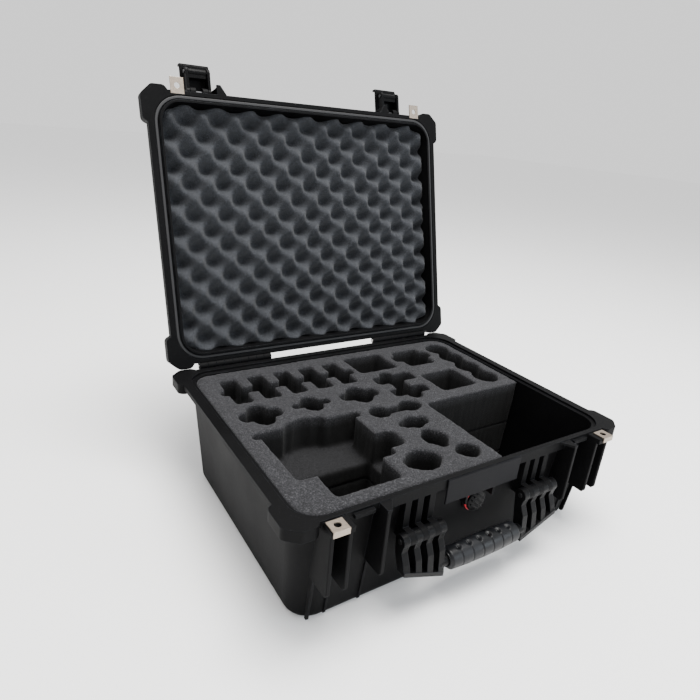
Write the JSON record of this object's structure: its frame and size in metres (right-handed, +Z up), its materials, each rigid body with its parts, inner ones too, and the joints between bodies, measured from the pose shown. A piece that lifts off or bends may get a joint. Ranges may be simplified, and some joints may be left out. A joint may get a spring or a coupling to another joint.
{
  "type": "protective carrying case",
  "caption": "Hard protective carrying case standing open, with cut foam in the base, convoluted foam in the lid, draw latches and a folding comb handle.",
  "frame": {"origin": "centre of the underside of the base, on the ground", "axes": "+X to the right seen from the handle, +Y to the hinges, +Z up; the lid stands open"},
  "size_m": [0.522, 0.5685, 0.5775],
  "materials": {
    "shell": "fine moulded grain",
    "trim": "satin moulded",
    "knob": "satin moulded",
    "handle": "satin moulded",
    "latch": "satin moulded",
    "grip": "semi-gloss soft rubber",
    "seal": "soft rubber",
    "red_seal": "soft rubber",
    "foam": "open-cell foam",
    "steel": "satin",
    "black_steel": "black oxide"
  },
  "bodies": {
    "base": {"base_shell": "shell", "name_panel": "trim", "valve_ring": "red_seal", "valve_nut": "knob", "foam_upper": "foam", "foam_lower": "foam", "foam_pad": "foam", "hinge_pin_left": "steel", "hinge_pin_right": "steel", "handle_pin_left": "steel", "handle_pin_right": "steel", "padlock_plate_base_left": "steel", "padlock_plate_base_right": "steel"},
    "lid": {"lid_shell": "shell", "lid_seal": "seal", "lid_foam": "foam", "padlock_plate_lid_left": "steel", "padlock_plate_lid_right": "steel"},
    "handle": {"handle_frame": "handle", "handle_grip": "grip"},
    "valve": {"valve_knob": "knob", "valve_stem": "knob"},
    "latch_left": {"latch_lever_left": "latch", "latch_lever_pin_left": "steel", "latch_hook_pin_left": "black_steel"},
    "latch_right": {"latch_lever_right": "latch", "latch_lever_pin_right": "steel", "latch_hook_pin_right": "black_steel"},
    "hook_left": {"latch_hook_left": "latch"},
    "hook_right": {"latch_hook_right": "latch"}
  },
  "joints": [
    {"name": "lid_hinge", "type": "hinge", "parent": "base", "child": "lid", "pos_m": [0, 0.1986, 0.1594], "axis": [1, 0, 0], "range_deg": [0, 104.7]},
    {"name": "handle_fold", "type": "hinge", "parent": "base", "child": "handle", "pos_m": [0, -0.199, 0.1015], "axis": [-1, 0, 0], "range_deg": [0, 95]},
    {"name": "valve_turn", "type": "hinge", "parent": "base", "child": "valve", "pos_m": [0, -0.186, 0.1055], "axis": [0, -1, 0], "range_deg": [0, 180]},
    {"name": "latch_left_swing", "type": "hinge", "parent": "lid", "child": "latch_left", "pos_m": [-0.17235, 0.32016, 0.5396], "axis": [1, 0, 0], "range_deg": [0, 90]},
    {"name": "hook_left_swing", "type": "hinge", "parent": "latch_left", "child": "hook_left", "pos_m": [-0.17235, 0.32726, 0.56668], "axis": [-1, 0, 0], "range_deg": [0, 180]},
    {"name": "latch_right_swing", "type": "hinge", "parent": "lid", "child": "latch_right", "pos_m": [0.17235, 0.32016, 0.5396], "axis": [1, 0, 0], "range_deg": [0, 90]},
    {"name": "hook_right_swing", "type": "hinge", "parent": "latch_right", "child": "hook_right", "pos_m": [0.17235, 0.32726, 0.56668], "axis": [-1, 0, 0], "range_deg": [0, 180]}
  ]
}
